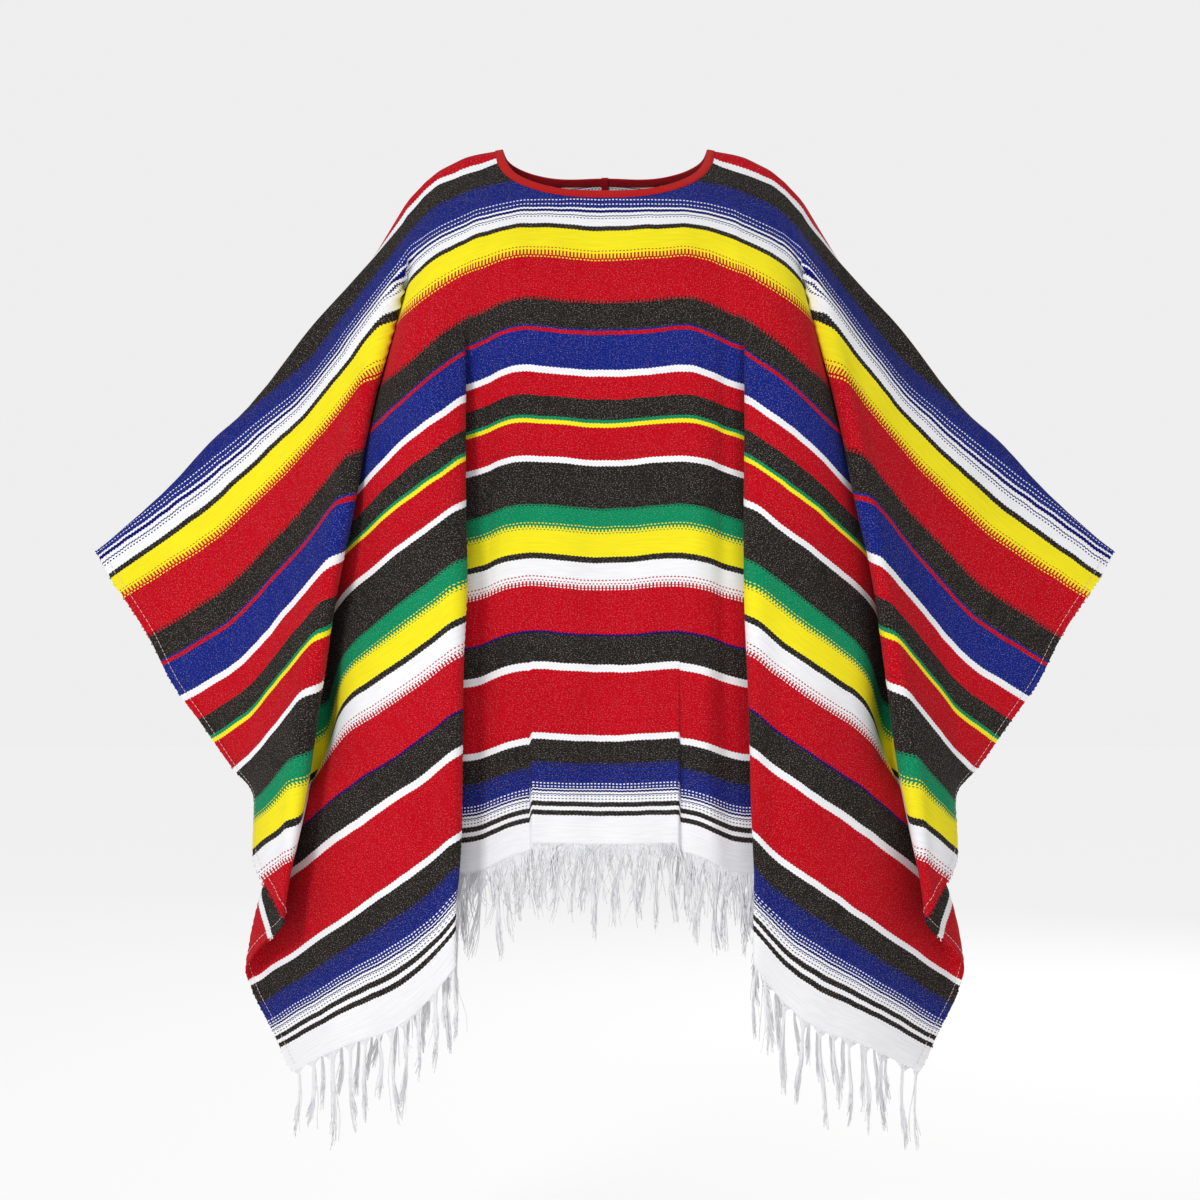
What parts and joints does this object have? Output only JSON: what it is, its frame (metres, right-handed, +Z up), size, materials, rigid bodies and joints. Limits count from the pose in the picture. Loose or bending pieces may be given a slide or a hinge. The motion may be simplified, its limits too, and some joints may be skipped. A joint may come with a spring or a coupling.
{
  "type": "poncho",
  "caption": "Striped woven poncho with a bound round neck, pleated draped sides and fringed hems, shaped as worn over outstretched arms.",
  "frame": {"origin": "middle of the neck, on the line of the shoulders", "axes": "+X across to the wearer's left, -Y out of the front, +Z up"},
  "size_m": [1.2752, 0.3612, 1.2208],
  "materials": {
    "cloth": "woven, striped across in red, black, white, blue, yellow and green",
    "binding": "ribbed tape",
    "fringe": "loose white threads"
  },
  "bodies": {
    "root": {"front": "cloth", "back": "cloth", "neck_binding": "binding", "binding_lap": "binding", "fringe_front": "fringe", "fringe_back": "fringe"}
  },
  "joints": []
}
